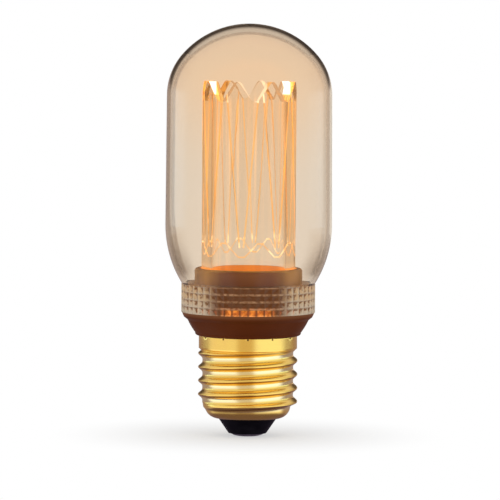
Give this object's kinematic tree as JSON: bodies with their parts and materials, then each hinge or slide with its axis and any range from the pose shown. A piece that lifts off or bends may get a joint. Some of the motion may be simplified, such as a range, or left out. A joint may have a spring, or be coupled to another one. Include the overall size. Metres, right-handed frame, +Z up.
{
  "type": "led filament bulb",
  "caption": "Tubular amber glass light bulb with an etched crown-topped light guide, a knurled ring, a brown collar and a gold screw cap.",
  "frame": {"origin": "centre of the contact's flat tip", "axes": "+Z up the bulb's axis from the cap to the dome; -Y is the side that the picture shows"},
  "size_m": [0.0442, 0.0442, 0.1094],
  "materials": {
    "amber_glass": "clear blown glass with a warm tint",
    "guide_acrylic": "clear polished acrylic",
    "cup_plastic": "brown translucent moulding",
    "ring_plastic": "clear amber moulding, knurled",
    "collar_plastic": "dark brown satin moulding",
    "gold_shell": "bright gold plate on rolled sheet",
    "black_insulator": "black gloss moulding",
    "contact_metal": "dull nickel plate",
    "light_board_white": "white solder mask on metal core",
    "chip_yellow": "phosphor gel",
    "screw_steel": "zinc plate",
    "board_green": "green solder mask",
    "can_sleeve": "dark shrink sleeve",
    "ferrite": "sintered ferrite",
    "copper_wire": "enamelled copper",
    "package_black": "moulded epoxy",
    "resistor_coat": "grey-green coating",
    "lead_red": "insulated wire",
    "lead_black": "insulated wire"
  },
  "bodies": {
    "root": {"glass_envelope": "amber_glass", "light_guide": "guide_acrylic", "guide_cup": "cup_plastic", "knurled_ring": "ring_plastic", "base_housing": "collar_plastic", "screw_shell": "gold_shell", "cap_insulator": "black_insulator", "centre_contact": "contact_metal", "led_board": "light_board_white", "led_chips": "chip_yellow", "board_screws": "screw_steel", "driver_board": "board_green", "filter_capacitor": "can_sleeve", "choke_core": "ferrite", "choke_winding": "copper_wire", "bridge_rectifier": "package_black", "driver_chip": "package_black", "fusible_resistor": "resistor_coat", "contact_lead": "lead_red", "shell_lead": "lead_black", "led_lead_positive": "lead_red", "led_lead_negative": "lead_black"}
  },
  "joints": []
}
